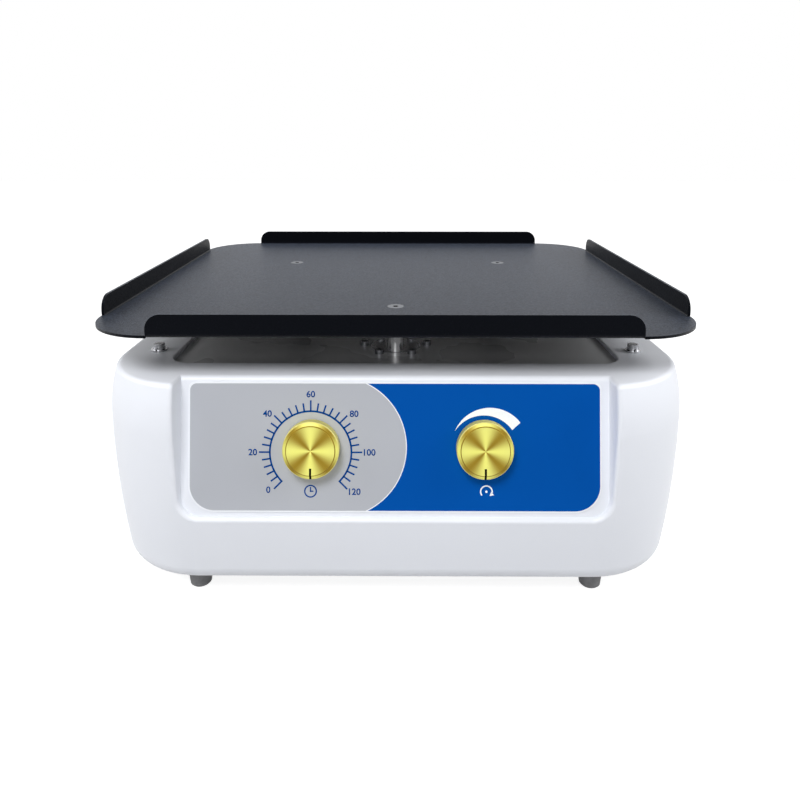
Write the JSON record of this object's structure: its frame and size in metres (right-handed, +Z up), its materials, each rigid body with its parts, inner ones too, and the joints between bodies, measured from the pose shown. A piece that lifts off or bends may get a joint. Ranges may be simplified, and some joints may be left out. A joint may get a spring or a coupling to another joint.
{
  "type": "laboratory orbital shaker",
  "caption": "Orbital shaker with a flat rimmed platform that circles level on eccentric cranks above a rounded housing with timer and speed knobs.",
  "frame": {"origin": "on the resting surface, under the middle of the housing", "axes": "+Z up, -Y out of the front panel, +X to the right seen from the front"},
  "size_m": [0.33, 0.3311, 0.16],
  "materials": {
    "white_housing": "satin moulded white",
    "deck_metal": "dark glossy coat",
    "grey_paint": "plain satin",
    "zinc_steel": "zinc plated",
    "black_rubber": "moulded, matt",
    "cast_aluminium": "turned",
    "bearing_steel": "ground",
    "dark_steel": "oiled",
    "black_powder_coat": "fine textured powder coat",
    "printed_overlay": "printed film",
    "gold_metal": "spun face, gold coloured",
    "black_plastic": "moulded",
    "copper_winding": "enamelled wire",
    "green_board": "lacquered board"
  },
  "bodies": {
    "housing": {"housing_shell": "white_housing", "deck_plate": "deck_metal", "base_plate": "grey_paint", "corner_posts": "zinc_steel", "corner_washers": "zinc_steel", "corner_spring_washers": "zinc_steel", "corner_screws": "zinc_steel", "base_screws": "zinc_steel", "feet": "black_rubber", "foot_screws": "zinc_steel", "bearing_housings": "cast_aluminium", "main_bearings": "bearing_steel", "bearing_spacers": "cast_aluminium", "bearing_housing_screws": "dark_steel", "drive_belt": "black_rubber", "motor_bracket": "zinc_steel", "bracket_posts": "zinc_steel", "bracket_screws": "dark_steel", "motor": "grey_paint", "motor_screws": "dark_steel", "control_overlay": "printed_overlay", "timer_unit": "black_plastic", "speed_potentiometer": "zinc_steel", "timer_nut": "zinc_steel", "speed_nut": "zinc_steel", "mains_inlet": "black_plastic", "inlet_blades": "zinc_steel", "inlet_screws": "zinc_steel", "fuse_holder": "black_plastic", "fuse_cap": "black_plastic", "switch_frame": "black_plastic", "transformer_core": "dark_steel", "transformer_coil": "copper_winding", "transformer_screws": "zinc_steel", "control_board": "green_board", "board_spacers": "black_plastic", "board_screws": "zinc_steel", "heat_sink": "cast_aluminium"},
    "platform": {"platform": "black_powder_coat", "platform_hubs": "cast_aluminium", "pin_bearings": "bearing_steel", "platform_screws": "dark_steel"},
    "front_crank": {"front_crank": "dark_steel", "front_weight": "zinc_steel", "front_grub_screws": "dark_steel", "crank_pulley": "cast_aluminium"},
    "right_crank": {"right_crank": "dark_steel", "right_weight": "zinc_steel", "right_grub_screw": "dark_steel"},
    "left_crank": {"left_crank": "dark_steel", "left_weight": "zinc_steel", "left_grub_screw": "dark_steel"},
    "motor_rotor": {"motor_shaft": "bearing_steel", "motor_pulley": "cast_aluminium"},
    "timer_knob": {"timer_knob": "gold_metal", "timer_shaft": "bearing_steel"},
    "speed_knob": {"speed_knob": "gold_metal", "speed_shaft": "bearing_steel"},
    "switch_rocker": {"switch_rocker": "black_plastic"}
  },
  "joints": [
    {"name": "front_crank_spin", "type": "hinge", "parent": "housing", "child": "front_crank", "pos_m": [0, -0.0858, 0.102], "axis": [0, 0, 1], "continuous": true},
    {"name": "platform_orbit", "type": "hinge", "parent": "front_crank", "child": "platform", "pos_m": [0, -0.0958, 0.139], "axis": [0, 0, 1], "continuous": true},
    {"name": "right_crank_spin", "type": "hinge", "parent": "housing", "child": "right_crank", "pos_m": [0.07907, 0.05115, 0.102], "axis": [0, 0, 1], "continuous": true},
    {"name": "left_crank_spin", "type": "hinge", "parent": "housing", "child": "left_crank", "pos_m": [-0.07907, 0.05115, 0.102], "axis": [0, 0, 1], "continuous": true},
    {"name": "motor_spin", "type": "hinge", "parent": "housing", "child": "motor_rotor", "pos_m": [0, 0.0142, 0.082], "axis": [0, 0, 1], "continuous": true},
    {"name": "timer_turn", "type": "hinge", "parent": "housing", "child": "timer_knob", "pos_m": [-0.043, -0.15327, 0.08847], "axis": [0, 0.987, -0.1607], "range_deg": [0, 315]},
    {"name": "speed_turn", "type": "hinge", "parent": "housing", "child": "speed_knob", "pos_m": [0.0465, -0.15327, 0.08847], "axis": [0, 0.987, -0.1607], "range_deg": [0, 300]},
    {"name": "switch_tilt", "type": "hinge", "parent": "housing", "child": "switch_rocker", "pos_m": [0.03, 0.159, 0.062], "axis": [1, 0, 0], "range_deg": [0, 16]}
  ],
  "couplings": [
    {"joint": "platform_orbit", "follows": "front_crank_spin", "ratio": -1},
    {"joint": "right_crank_spin", "follows": "front_crank_spin", "ratio": 1},
    {"joint": "left_crank_spin", "follows": "front_crank_spin", "ratio": 1},
    {"joint": "motor_spin", "follows": "front_crank_spin", "ratio": 2.3953}
  ]
}
